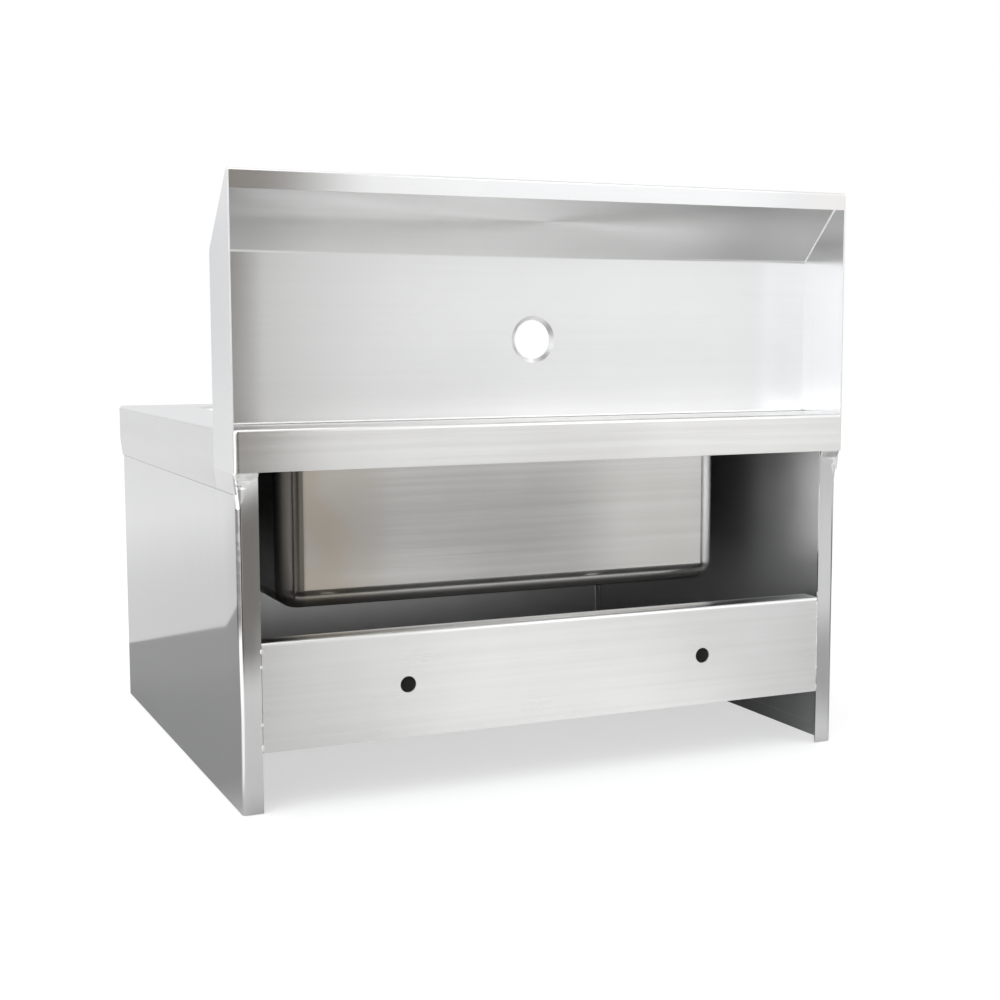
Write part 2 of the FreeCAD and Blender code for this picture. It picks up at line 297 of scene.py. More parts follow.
def steel(name, marks, light, dark, smooth, rough, anisotropy=0.0, turn=0.0, weights=(0.30, 0.45, 0.25)):
    """Brushed steel: marks is a function that gives the grain, light and dark are the streaks' colours,
    smooth and rough the ends of the roughness, and weights the shares of streaks, bands and patches."""
    finish = Finish(name, Metallic=1.0, Anisotropic=anisotropy, Anisotropic_Rotation=turn)
    fine, bands, patches = marks(finish)
    mark = fine * weights[0] + bands * weights[1] + patches * weights[2]
    tone = finish.ease(mark, streaks_from, streaks_to)
    finish.colour = finish.blend(tone, dark, light)
    finish.roughness = smooth + (rough - smooth) * (fine * 0.5 + patches * 0.5)
    finish.relief = finish.bump(fine, grain_depth)
    finish.feed(Base_Color=finish.colour, Roughness=finish.roughness, Normal=finish.relief)
    return finish


upright_spread = {"anisotropy": 0.9, "turn": 0.25}
splash_steel = steel("splash_sheet", marks_of("level_x"), (0.84, 0.84, 0.84), (0.81, 0.81, 0.81), 0.30, 0.38,
                     **upright_spread, weights=(0.15, 0.25, 0.6))
strip_steel = steel("strip_sheet", marks_of("level_x"), (0.89, 0.885, 0.877), (0.82, 0.81, 0.79), 0.20, 0.28,
                    **upright_spread, weights=(0.2, 0.5, 0.3))
rail_steel = steel("rail_sheet", marks_of("level_x"), (0.84, 0.838, 0.832), (0.79, 0.786, 0.775), 0.24, 0.33,
                   **upright_spread, weights=(0.15, 0.35, 0.5))
panel_steel = steel("panel_sheet", marks_of("upright"), (0.79, 0.79, 0.79), (0.76, 0.76, 0.758), 0.05, 0.09,
                    anisotropy=0.7, weights=(0.3, 0.35, 0.35))
deck_steel = steel("deck_sheet", grain_on_all_sides, (0.79, 0.79, 0.787), (0.755, 0.753, 0.748), 0.20, 0.30)
bowl_steel = steel("bowl_sheet", grain_on_all_sides, (0.71, 0.70, 0.685), (0.64, 0.625, 0.60), 0.12, 0.18,
                   anisotropy=0.85, turn=0.25, weights=(0.2, 0.4, 0.4))
sheet_finishes = (splash_steel, strip_steel, rail_steel, panel_steel, deck_steel, bowl_steel)
print("steel finishes:", ", ".join(finish.material.name for finish in sheet_finishes))

# %% [markdown]
# ## Inside faces of the body
# Only the outside of the side panels and apron is polished. Their inside faces keep the dull skin that the
# sheet left the mill with, so they scatter what light reaches them. Their colour also carries painted shade:
# the side panels' inside darkens away from the open rear, and the apron is set darker than they are. The
# faces could be split into materials of their own, but the CAD mesh stays whole here, so they are told apart
# by where they lie.

# %% Mill finish inside
inside_x, inside_front_y, inside_rear_y = 0.2464, -0.2064, 0.2058
apron_rear_y = -0.2052
mill_scale = 35.0
# The apron's mill colours are set darker than the side panels' as painted shade.
apron_dark, apron_light = (0.50, 0.50, 0.505), (0.56, 0.56, 0.56)
side_dark, side_light = (0.60, 0.60, 0.61), (0.67, 0.67, 0.675)
depth_shade_colour, depth_share = (0.30, 0.30, 0.305), 0.62
depth_from_y, depth_to_y = 0.02, 0.17
mill_roughness, apron_polish, mill_unevenness = 0.34, 0.12, 0.05

across_x, along_y, up_z = panel_steel.axes(panel_steel.place)
inside = (abs(across_x) < inside_x) * (along_y > inside_front_y) * (along_y < inside_rear_y)
on_apron = along_y < apron_rear_y
mill = panel_steel.noise(panel_steel.place, mill_scale, 3.0)
mill_and_shade_colour = panel_steel.blend(on_apron, panel_steel.blend(mill, side_dark, side_light),
                                panel_steel.blend(mill, apron_dark, apron_light))
# Painted shade: the side panels' inside gets darker from the open rear towards the front.
painted_depth_shade = panel_steel.ease(along_y, depth_from_y, depth_to_y, depth_share, 0.0) * (1 - on_apron)
mill_and_shade_colour = panel_steel.blend(painted_depth_shade, mill_and_shade_colour, depth_shade_colour)
dull = mill_roughness - on_apron * apron_polish + mill * mill_unevenness
print("mill finish between x", -inside_x, "and", inside_x, "m")

# %% [markdown]
# ## Dark fold
# A dark line runs along the rear fold of the side panels. It could be a strip of its own, but here it is a
# colour on that fold, broken up by a fine noise.

# %% Dark fold
fold_dark_x = 0.2454
fold_dark_y = (0.2000, 0.2035)
fold_dark_rise, fold_dark_fall = (0.118, 0.140), (0.220, 0.227)
fold_dark_grain = 5 * mm
speckle_span, speckle_least = (0.35, 0.55), 0.85
fold_dark_colour = (0.20, 0.195, 0.19)

fold_dark_noise = panel_steel.noise(panel_steel.place, 1 / fold_dark_grain, 3.0)
speckle = panel_steel.ease(fold_dark_noise, *speckle_span, speckle_least, 1.0)
# A darker colour on the outside face beside the rear fold, between two heights.
darkish = ((abs(across_x) > fold_dark_x) * panel_steel.ease(along_y, *fold_dark_y)
         * panel_steel.band(up_z, fold_dark_rise, fold_dark_fall) * speckle)
outside_colour = panel_steel.blend(darkish, panel_steel.colour, fold_dark_colour)
panel_steel.feed(Base_Color=panel_steel.blend(inside, outside_colour, mill_and_shade_colour),
                 Roughness=panel_steel.roughness + inside * dull)
print("burnt fold from", fold_dark_rise[0], "to", fold_dark_fall[1], "m above the floor")

# %% [markdown]
# ## Pull of the welds
# A weld shrinks as it cools and pulls the sheet beside it, so near its ends each face bends by a few
# degrees. The eye sees this only as a reflection that slides: the dim part of the room shows at one end of
# the basin, the bright side at the other. The sheet could be bent in its mesh, but a few degrees over a few
# centimetres don't change its outline, so it is a bump whose height falls with the square of the distance
# past a line, which tilts the surface steadily up to its end. The strip is also ground round at its right
# end, which is the same bump over a few millimetres.

# %% Strip and panels
def bent(finish, distance, reach, tilt, normal):
    """Bump that bends the surface away near an end: minus the square of the way past the line, over two
    radii, where the radius is the reach over the tilt at the end."""
    past = (reach - distance).at_least(0.0)
    height = past * past * (tilt / reach) * (-0.5 / mm)
    return finish.node("ShaderNodeBump", {},
                       {"Height": height, "Strength": 1.0, "Distance": mm, "Normal": normal})


strip_pull = {"reach": 0.075, "tilt": 0.045}
strip_round = {"reach": 0.0050, "tilt": 0.62}
strip_x = strip_steel.axes(strip_steel.place)[0]
pulled = bent(strip_steel, cad_high[0] - abs(strip_x), **strip_pull, normal=strip_steel.relief)
strip_steel.feed(Normal=bent(strip_steel, cad_high[0] - strip_x, **strip_round, normal=pulled))

panel_rear_y = 0.2088
panel_pull = {"reach": 0.040, "tilt": 0.10}
panel_steel.feed(Normal=bent(panel_steel, panel_rear_y - along_y, **panel_pull, normal=panel_steel.relief))
for sheet, pull in (("strip", strip_pull), ("strip's right end", strip_round), ("panels", panel_pull)):
    print(sheet, "bent by", round(math.degrees(pull["tilt"]), 1), "degrees over", pull["reach"], "m")

# %% [markdown]
# ## Splash
# The face and the slope of the splash are pulled only at their right end. The return along its top is
# pulled at both ends, over a longer way, and is smoother, because it was dressed with the edge. The slope
# carries painted shade, darker towards both ends, and heat has left the ends of the return a little warm.

# %% Splash sheet
splash_half = 0.2476
return_y = 0.2086
slope_from_y, slope_to_y, slope_from_z = 0.1585, 0.2078, 0.391
face_reach, return_reach = 0.036, 0.100
face_tilt, return_tilt = 0.085, 0.072
return_polish = 0.11
slope_middle_x, slope_dark_from, slope_dark_to, slope_share = 0.03, 0.12, 0.225, 0.72
slope_shade_colour, return_colour = (0.45, 0.45, 0.452), (0.88, 0.835, 0.79)
return_warm_reach, return_share = 0.05, 0.5

splash_x, splash_y, splash_z = splash_steel.axes(splash_steel.place)
on_return = splash_y > return_y
end_of_splash = splash_half - splash_x * (1 - on_return) - abs(splash_x) * on_return
splash_reach = face_reach + on_return * (return_reach - face_reach)
splash_tilt = face_tilt + on_return * (return_tilt - face_tilt)
on_slope = (splash_y > slope_from_y) * (splash_y < slope_to_y) * (splash_z > slope_from_z)
# Painted shade: the slope's colour darkens towards both ends.
painted_slope_shade = on_slope * splash_steel.ease(abs(splash_x - slope_middle_x), slope_dark_from, slope_dark_to,
                                          0.0, slope_share)
return_warm = on_return * splash_steel.ease(end_of_splash, 0.0, return_warm_reach, return_share, 0.0)
splash_colour = splash_steel.blend(painted_slope_shade, splash_steel.colour, slope_shade_colour)
splash_steel.feed(
    Base_Color=splash_steel.blend(return_warm, splash_colour, return_colour),
    Roughness=splash_steel.roughness - on_return * return_polish,
    Normal=bent(splash_steel, end_of_splash, splash_reach, splash_tilt, splash_steel.relief))
print("splash pulled over", face_reach, "m, its return over", return_reach, "m")

# %% [markdown]
# ## Outside of the bowl
# The bowl is drawn from one sheet. Its outside carries painted light and shade: a painted highlight round the
# one bend, painted shade round the other, and a warm, darker painted reflection on the wall beside that. They
# are colours, and only on the outer skin, which faces the wall. The bend is followed by the angle round its
# own middle line.

# %% Bowl painted highlight, shade and reflection
bowl_low, bowl_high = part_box("bowl")
bend_radius = 18.2 * mm
wall_facing, rear_half_y = 0.02, 0.05
bright_rise, bright_fall = (0.08, 0.22), (0.85, 1.10)
mottle_scale, mottle_span, mottle_least = 22.0, (0.30, 0.55), 0.55
warm_from_x, warm_to_x = 0.095, 0.160
dark_from_x, dark_to_x = 0.171, 0.176
painted_highlight_colour, warm_reflection_colour, bend_shade_colour = (0.92, 0.91, 0.89), (0.58, 0.525, 0.455), (0.40, 0.375, 0.345)

bowl_x, bowl_y, _ = bowl_steel.axes(bowl_steel.place)
outer_skin = (bowl_steel.outward()[1] > wall_facing) * (bowl_y > rear_half_y)
round_bend = (bowl_low[0] + bend_radius - bowl_x).bearing(bowl_y - (bowl_high[1] - bend_radius))
# Painted highlight: a bright colour round the bend on the -X side.
painted_bend_highlight = bowl_steel.band(round_bend, bright_rise, bright_fall) * outer_skin
# Painted reflection: a warm, darker colour on the wall towards +X, mottled by noise.
reflection_mottle = bowl_steel.ease(bowl_steel.noise(bowl_steel.place, mottle_scale), *mottle_span, mottle_least, 1.0)
painted_warm_reflection = bowl_steel.ease(bowl_x, warm_from_x, warm_to_x) * reflection_mottle * outer_skin
# Painted shade: a dark colour round the bend on the +X side.
painted_bend_shade = bowl_steel.ease(bowl_x, dark_from_x, dark_to_x) * outer_skin
bowl_colour = bowl_steel.blend(painted_warm_reflection, bowl_steel.colour, warm_reflection_colour)
bowl_colour = bowl_steel.blend(painted_bend_shade, bowl_colour, bend_shade_colour)
bowl_steel.feed(Base_Color=bowl_steel.blend(painted_bend_highlight, bowl_colour, painted_highlight_colour))
print("bowl bend radius in mm:", round(bend_radius / mm, 1))

# %% [markdown]
# ## Cut edges and end plates
# The end plates show their raw edge in the wall plane. A raw edge has been filed, so it is rougher than the
# brushed face beside it, and its white colour is partly the filed metal and partly a painted highlight. The
# edge is the only part of the plate behind a certain Y, so one comparison on Object coordinates finds it, and
# no mesh has to be cut.

# %% End plates
edge_line = 0.2098
filed_and_highlight_colour, edge_roughness = (0.97, 0.97, 0.965), 0.3
end_steel = steel("end_plate_sheet", marks_of("upright"), (0.87, 0.87, 0.872), (0.84, 0.84, 0.842),
                  0.14, 0.22, anisotropy=0.6, weights=(0.3, 0.3, 0.4))
raw_edge = end_steel.axes(end_steel.place)[1] > edge_line
# Partly painted highlight: the raw edge is coloured near-white, as well as made rougher.
end_steel.feed(Base_Color=end_steel.blend(raw_edge, end_steel.colour, filed_and_highlight_colour),
               Roughness=end_steel.roughness + raw_edge * edge_roughness)
print("raw edge behind y", edge_line, "m")

# %% [markdown]
# ## Waste outlet
# The outlet is polished and plated, its washers are black rubber and the nut below is turned brass. A
# turned part carries fine rings round its axis. They could be cut as grooves, but they are far finer than
# the mesh, so the pattern is a noise read at the distance from that axis.

# %% Waste finishes
waste_low, waste_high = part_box("waste_body")
waste_axis = ((waste_low[0] + waste_high[0]) / 2, (waste_low[1] + waste_high[1]) / 2, 0.0)
ring_depth, dust_depth = 0.01 * mm, 0.05 * mm
tarnish_scale, dust_scale = 60.0, 400.0
rubber_roughness, dust_roughness = 0.55, 0.25


def turned(name, light, dark, smooth, rough, pitch):
    """Metal turned on a lathe, with rings round the outlet's axis."""
    finish = Finish(name, Metallic=1.0)
    x, y, z = finish.axes(finish.node("ShaderNodeVectorMath", {"operation": "SUBTRACT"},
                                      {0: finish.place, 1: waste_axis}))
    radius = (x * x + y * y) ** 0.5
    rings = finish.noise(finish.joined(radius / pitch, z / pitch), 1.0)
    tarnish = finish.noise(finish.place, tarnish_scale, 3.0)
    finish.feed(Base_Color=finish.blend(tarnish, dark, light), Roughness=smooth + (rough - smooth) * rings,
                Normal=finish.bump(rings, ring_depth))
    return finish


chrome = turned("waste_chrome", (0.84, 0.84, 0.84), (0.74, 0.74, 0.745), 0.06, 0.16, 0.8 * mm)
brass = turned("nut_brass", (0.78, 0.63, 0.33), (0.62, 0.47, 0.22), 0.22, 0.36, 0.6 * mm)
rubber = Finish("washer_rubber", Specular_IOR_Level=0.3)
dust = rubber.noise(rubber.place, dust_scale, 3.0)
rubber.feed(Base_Color=rubber.blend(dust, (0.018, 0.018, 0.018), (0.045, 0.044, 0.042)),
            Roughness=rubber_roughness + dust * dust_roughness, Normal=rubber.bump(dust, dust_depth))
print("waste axis at", [round(place, 4) for place in waste_axis[:2]])

# %% [markdown]
# ## Dressing the CAD pieces
# The pieces come from the CAD model with plain materials. New meshes could stand for them, but their shapes
# are right, so each keeps its mesh and only gets its finish in its material slots.

# %% Dress the nodes
finish_of = {
    "deck_top": deck_steel, "bowl": bowl_steel, "splash_panel": splash_steel, "rear_ledge": strip_steel,
    "splash_end_left": end_steel, "splash_end_right": end_steel,
    "side_panel_left": panel_steel, "side_panel_right": panel_steel, "front_apron": panel_steel,
    "rear_mounting_rail": rail_steel, "waste_body": chrome, "waste_top_washer": rubber,
    "waste_bottom_washer": rubber, "waste_backnut": brass,
}
for node_name, finish in finish_of.items():
    for slot in nodes[node_name].material_slots:
        slot.material = finish.material
print("dressed", len(finish_of), "nodes")

# %% [markdown]
# ## Welds
# The sheets meet edge to edge and are joined by weld: a fillet inside each splash end, a seam along the
# foot of the splash, spots at the corners of the rail, and a ground blend that closes the skirt's lip under
# the strip. Thin seams close the lip's lower edge. Each is one closed skin: rings of points carried along a
# path. A boolean could cut them, but a skin keeps its own even mesh and can swell and ripple as a hand-laid
# weld does.

# %% Weld finishes
weld_grain, weld_patch, weld_depth = 0.6 * mm, 7 * mm, 0.02 * mm
weld_roughness, weld_unevenness, weld_span = 0.24, 0.16, (0.35, 0.6)
lip_grain, lip_roughness, lip_unevenness = 0.5 * mm, 0.35, 0.15

weld_steel = Finish("ground_weld", Metallic=1.0)
weld_grit = weld_steel.noise(weld_steel.place, 1 / weld_grain, 3.0)
weld_stain = weld_steel.ease(weld_steel.noise(weld_steel.place, 1 / weld_patch), *weld_span)
weld_steel.feed(Base_Color=weld_steel.blend(weld_stain, (0.80, 0.79, 0.775), (0.92, 0.92, 0.915)),
                Roughness=weld_roughness + weld_grit * weld_unevenness,
                Normal=weld_steel.bump(weld_grit, weld_depth))

# The lip seam's dark colour is a painted shadow along the lip's lower edge.
lip_shadow_steel = Finish("lip_seam_shadow", Metallic=1.0)
lip_grit = lip_shadow_steel.noise(lip_shadow_steel.place, 1 / lip_grain)
lip_shadow_steel.feed(Base_Color=lip_shadow_steel.blend(lip_grit, (0.42, 0.41, 0.39), (0.60, 0.595, 0.58)),
               Roughness=lip_roughness + lip_grit * lip_unevenness)
print("weld finishes:", weld_steel.material.name, "and", lip_shadow_steel.material.name)


# %% Skins
def skin(name, rings, finish=weld_steel):
    """Closed piece from rings of points: neighbouring rings are joined by four-sided faces and each end is
    one face. If the enclosed volume comes out negative the faces point inwards, so they are turned round."""
    rows, count = rings.shape[:2]
    row, column = np.meshgrid(np.arange(rows - 1), np.arange(count), indexing="ij")
    ahead = (column + 1) % count
    faces = np.stack([row * count + column, row * count + ahead,
                      (row + 1) * count + ahead, (row + 1) * count + column], axis=-1).reshape(-1, 4)
    points = rings.reshape(-1, 3)
    first, second, third, fourth = (points[faces[:, corner]] for corner in range(4))
    middle = points.mean(axis=0)
    volume = np.einsum("ij,ij->", first - middle, np.cross(second - middle, third - middle))
    volume += np.einsum("ij,ij->", first - middle, np.cross(third - middle, fourth - middle))
    ends = [np.arange(count)[::-1], np.arange(count) + (rows - 1) * count]
    if volume < 0:
        faces, ends = faces[:, ::-1], [end[::-1] for end in ends]
    mesh = bpy.data.meshes.new(name)
    mesh.from_pydata(points.tolist(), [], faces.tolist() + [end.tolist() for end in ends])
    mesh.polygons.foreach_set("use_smooth", np.ones(len(mesh.polygons), bool))
    mesh.materials.append(finish.material)
    piece = bpy.data.objects.new(name, mesh)
    bpy.context.scene.collection.objects.link(piece)
    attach(piece, "root")


def mirror(rings, side):
    """The same rings for one side: side is 1 for the +X side and -1 for the other."""
    return rings * np.array([side, 1, 1])


side_names = {1: "right", -1: "left"}

# %% [markdown]
# ## Fillets inside the splash ends
# A fillet weld fills an inside corner with a hollow quarter round. Its section is measured along the two
# faces that it joins: the arc is one radius minus the sine along one face, and one radius minus the cosine
# along the other. The path follows the slope from the crease to the return; below the crease the corner is
# ground away.

# %% Sections carried along a path
fillet_embed = 0.25
arc = np.linspace(0, math.pi / 2, 9)
fillet_section = np.concatenate([np.stack([1 - np.sin(arc), 1 - np.cos(arc)], axis=1),
                                 [[-fillet_embed, 1], [-fillet_embed, -fillet_embed], [1, -fillet_embed]]])


def ripple(distance, pitch, seed):
    """Slow swelling of a hand-laid weld: three sines of different pitch, between about -1 and 1."""
    turns = 2 * math.pi * distance / pitch
    slow = np.sin(turns + seed)
    middling = np.sin(2.3 * turns + 2 * seed)
    quick = np.sin(4.1 * turns + 3 * seed)
    return (slow + 0.6 * middling + 0.4 * quick) / 2


def carried(path, along_first, along_second, section, size):
    """Rings of a section carried along a path: path point plus size times the section's two distances, each
    along its own direction, which is one for the whole path."""
    first = section[None, :, 0, None] * np.array(along_first)
    second = section[None, :, 1, None] * np.array(along_second)
    return path[:, None, :] + size[:, None, None] * (first + second)


# %% End fillets
end_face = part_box("splash_panel")[1][0]
panel_face = 0.1572
crease = 0.3925
slope_end_y, slope_end_z = 0.2070, 0.4428
fillet_rings, fillet_pitch = 60, 11 * mm
fillet_size, fillet_growth, fillet_ripple = 0.8 * mm, 0.9 * mm, 0.2

slope_run = np.array([0, slope_end_y - panel_face, slope_end_z - crease])
slope_length = np.linalg.norm(slope_run)
slope_outward = (0, slope_run[2] / slope_length, -slope_run[1] / slope_length)
steps = np.linspace(0, 1, fillet_rings)
slope_path = np.array([end_face, panel_face, crease]) + steps[:, None] * slope_run
for side in (1, -1):
    swell = 1 + fillet_ripple * ripple(steps * slope_length, fillet_pitch, 1.3 + side)
    size = (fillet_size + fillet_growth * steps ** 2) * swell
    rings = carried(slope_path, (-1, 0, 0), slope_outward, fillet_section, size)
    skin("slope_fillet_" + side_names[side], mirror(rings, side))
slope_angle = math.degrees(math.atan2(slope_run[2], slope_run[1]))
print("end fillets follow a slope of", round(slope_angle, 1), "degrees")

# %% [markdown]
# ## Seam at the foot of the splash
# The panel stands on the edge of the ledge. The seam is a small fillet, bright where it was dressed, with a
# painted shadow at its toe: a dark line, made as a colour below a certain height.

# %% Foot seam
ledge_top = 0.2700
toe_height = 0.22 * mm
seam_rings, seam_size, seam_ripple, seam_pitch = 160, 1.6 * mm, 0.06, 21 * mm
seam_grain, seam_roughness, seam_unevenness = 0.8 * mm, 0.22, 0.12
toe_shadow_colour, dressed_colour = (0.10, 0.10, 0.10), (0.90, 0.90, 0.90)

seam_steel = Finish("foot_seam", Metallic=1.0)
above_toe = seam_steel.axes(seam_steel.place)[2] > ledge_top + toe_height
seam_grit = seam_steel.noise(seam_steel.place, 1 / seam_grain)
# Painted shadow: the seam is coloured dark below the toe height.
seam_steel.feed(Base_Color=seam_steel.blend(above_toe, toe_shadow_colour, dressed_colour),
                Roughness=seam_roughness + seam_grit * seam_unevenness)


def straight(start, end, count):
    """Points at even steps from one place to another."""
    return np.linspace(np.array(start), np.array(end), count)


foot_path = straight((-end_face, panel_face, ledge_top), (end_face, panel_face, ledge_top), seam_rings)
foot_size = seam_size * (1 + seam_ripple * ripple(foot_path[:, 0], seam_pitch, 0.4))
skin("foot_seam", carried(foot_path, (0, 1, 0), (0, 0, 1), fillet_section, foot_size), seam_steel)
print("foot seam", round(2 * end_face / mm, 1), "mm long")

# %% [markdown]
# ## Blends under the ends of the strip
# Under each end of the strip the skirt's lip would stay open towards the wall. It is closed with weld and
# ground to a soft corner. The skin is a stack of plan views: each one follows the flange, rounds the corner
# and runs back along the lip. Its face steps from the flange out to the strip in one soft S. The right
# corner keeps a low ridge from the grinder and a tear-shaped run of weld below it; the left one was ground
# nearly flat, so it has only a little of both.

# %% Corner outline
rail_low, rail_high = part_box("rear_mounting_rail")
flange_face = rail_high[1]
strip_face = cad_high[1] - 0.08 * mm
side_edge = cad_high[0] - 0.05 * mm
strip_bottom, lip_bottom, tear_bottom = 0.2400, 0.2250, 0.2130
blend_top = strip_bottom + 0.6 * mm
blend_start = 0.2340
inner_end = 0.2320
panel_edge = 0.2470
sunk = 0.06 * mm
lip_slope = 1.8 * mm / (strip_bottom - lip_bottom)
lip_clear, lip_lean = 0.02 * mm, 1.2 * mm


def soft_step(value):
    """Smooth S from 0 to 1: three squares minus two cubes of the clipped value."""
    clipped = np.clip(value, 0, 1)
    return clipped ** 2 * (3 - 2 * clipped)


def mound(value, middle, width):
    """Round hill of height 1: e to the power of minus the square of the distance over the width."""
    return np.exp(-((value - middle) / width) ** 2)


levels = np.linspace(tear_bottom, blend_top, 80)
face_y = flange_face - sunk + (strip_face - flange_face + sunk) * soft_step(
    (levels - blend_start) / (strip_bottom - blend_start))
lip_x = side_edge + lip_clear - lip_slope * np.clip(strip_bottom - levels, 0, None)
below_lip = panel_edge - sunk + lip_lean * soft_step((levels - tear_bottom) / (lip_bottom - tear_bottom))
outer_x = np.where(levels > lip_bottom, lip_x, np.minimum(lip_x, below_lip))

# %% Ridge and tear
ridge_height, ridge_z, ridge_width = 0.55 * mm, 0.2333, 1.1 * mm
ridge_from_x, ridge_run = 0.2340, 8 * mm
tear_top, tear_height, tear_close, tear_end = 0.2300, 0.75 * mm, 2.5 * mm, 0.8 * mm
tear_swelling, tear_inset, tear_drift = 1.5, 0.3 * mm, 2.0 * mm
tear_thin, tear_growth = 0.8 * mm, 2.2 * mm

up_tear = np.clip((levels - tear_bottom) / (tear_top - tear_bottom), 0, 1)
ridge = ridge_height * mound(levels, ridge_z, ridge_width)
tear_rise = soft_step(tear_swelling * up_tear)
tear_stop = soft_step((tear_top + tear_end - levels) / tear_close)
tear = tear_height * tear_rise * tear_stop
tear_middle = panel_edge - tear_inset - tear_drift * up_tear
tear_width = tear_thin + tear_growth * up_tear
print("ridge", round(ridge.max() / mm, 2), "mm and tear", round(tear.max() / mm, 2), "mm high")

# %% Corner blends
corner_round = 2.8 * mm
corner_turn = np.linspace(0, math.pi / 2, 8)
back_y, back_x = 0.2030, np.array([0.0, 1.2, 2.2]) * mm
tail_y = np.array([1.0, 0.6]) * mm
corner_fullness = {1: 1.0, -1: 0.15}
swell_share, ridge_share = 0.6, 0.4


def plan_ring(level_index, fullness):
    """One plan view: along the face, round the corner, back inside the metal. Fullness scales the ridge and
    the tear."""
    y, x = face_y[level_index], outer_x[level_index]
    arc_x = x - corner_round + corner_round * np.sin(corner_turn)
    arc_y = y - corner_round + corner_round * np.cos(corner_turn)
    face_x = np.linspace(inner_end, arc_x[0], 16)[:-1]
    swell = ridge[level_index] * soft_step((face_x - ridge_from_x) / ridge_run)
    swell = swell + tear[level_index] * mound(face_x, tear_middle[level_index], tear_width[level_index])
    swell = swell * fullness
    at_corner = swell[-1] * swell_share + ridge[level_index] * fullness * ridge_share
    arc_y = arc_y + at_corner * np.cos(corner_turn)
    xs = np.concatenate([face_x, arc_x, x - back_x, [inner_end]])
    ys = np.concatenate([y + swell, arc_y, [back_y, back_y], flange_face - tail_y])
    return np.stack([xs, ys, np.full_like(xs, levels[level_index])], axis=1)


for side, fullness in corner_fullness.items():
    corner_rings = np.stack([plan_ring(index, fullness) for index in range(len(levels))])
    skin("corner_blend_" + side_names[side], mirror(corner_rings, side))
print("corner blends", round((blend_top - tear_bottom) / mm, 1), "mm high")

# %% [markdown]
# ## Seam under the lip
# The skirt's lip is drawn in against the panels and tacked there. Seen from the side this shows as one fine
# line along the lip's lower edge, so a thin fillet closes that corner on both sides and in front. Its dark
# colour is a painted contact shadow.

# %% Lip seams
lip_rings = 90
lip_size = np.full(lip_rings, 0.9 * mm)
lip_front_y, lip_rear_y = cad_low[1] + 3.0 * mm, 0.2028
side_path = straight((panel_edge, lip_front_y, lip_bottom), (panel_edge, lip_rear_y, lip_bottom), lip_rings)
side_rings = carried(side_path, (1, 0, 0), (0, 0, -1), fillet_section, lip_size)
for side in (1, -1):
    skin("lip_seam_shadow_" + side_names[side], mirror(side_rings, side), lip_shadow_steel)
front_path = straight((-panel_edge, lip_front_y, lip_bottom), (panel_edge, lip_front_y, lip_bottom),
                      lip_rings)
skin("lip_seam_shadow_front", carried(front_path, (0, -1, 0), (0, 0, -1), fillet_section, lip_size), lip_shadow_steel)
print("lip seams", round(lip_size[0] / mm, 1), "mm wide")

# %% [markdown]
# ## Spots and seam on the rail
# The rail is held to the flanges by short weld spots at its corners, ground nearly flat, and at its left
# end by one long thin seam between them. A spot is a flattened ball: its section is a circle whose size
# follows the square root of one minus the square of the way along, with small rings where each pool of weld
# froze. The seam is the same form drawn out.

# %% Rail spots
pool_pitch, pool_swell = 0.9 * mm, 0.06
spot_rings, spot_points, pole_share = 30, 20, 0.995


def spot(name, centre, length, width, height):
    """Long flattened ball along Z, half sunk in the sheet."""
    way = np.sin(np.linspace(-math.pi / 2, math.pi / 2, spot_rings)) * pole_share
    swell = np.sqrt(1 - way ** 2) * (1 + pool_swell * np.cos(way * length / pool_pitch * math.pi))
    round_turn = np.linspace(0, 2 * math.pi, spot_points, endpoint=False)
    x = centre[0] + width / 2 * swell[:, None] * np.cos(round_turn)
    y = centre[1] + height * swell[:, None] * np.sin(round_turn)
    z = centre[2] + length / 2 * np.repeat(way[:, None], spot_points, axis=1)
    skin(name, np.stack([x, y, z], axis=-1))


spot_x = rail_high[0] + 0.15 * mm
spot_width, spot_height = 1.9 * mm, 0.35 * mm
spots = (("top", rail_high[2] - 6 * mm, 3.5 * mm), ("upper", rail_high[2] - 17 * mm, 2.5 * mm),
         ("lower", rail_low[2] + 20 * mm, 2.5 * mm), ("bottom", rail_low[2] + 3.5 * mm, 5 * mm))
for side in (1, -1):
    for level, z, length in spots:
        spot(f"rail_spot_{level}_{side_names[side]}", (side * spot_x, flange_face, z), length,
             spot_width, spot_height)

rail_seam_z = (rail_low[2] + rail_high[2]) / 2 + 4 * mm
rail_seam_length, rail_seam_width, rail_seam_height = 62 * mm, 1.0 * mm, 0.30 * mm
spot("rail_seam_left", (-spot_x, flange_face, rail_seam_z), rail_seam_length,
     rail_seam_width, rail_seam_height)

# %% [markdown]
# ## Studio floor
# Steel shows its surroundings, so the studio is part of the material. The camera sees a plain white floor
# that keeps the basin's shadow; under the basin its glow is left out, which adds painted shadow there. The
# steel sees more: a board under the basin, whose slanting front edge is the line that crosses the side panel,
# a dim floor under it, a pool of light behind it, and further off floor that is dim in one sector and bright
# elsewhere, where it also glows as painted light. A picture of a room could be used instead, but each of
# these is a tone with soft edges on one plane, so it can be set by itself. Tones are laid one over another in
# order, as a painter lays them, and a span is where a soft edge starts and ends.

# %% Floor plane
floor_half, floor_z = 7.0, -0.5 * mm


def plane(name, low, high, z):
    """Flat rectangle at one height."""
    corners = [(low[0], low[1], z), (high[0], low[1], z), (high[0], high[1], z), (low[0], high[1], z)]
    mesh = bpy.data.meshes.new(name)
    mesh.from_pydata(corners, [], [(0, 1, 2, 3)])
    piece = bpy.data.objects.new(name, mesh)
    bpy.context.scene.collection.objects.link(piece)
    return piece


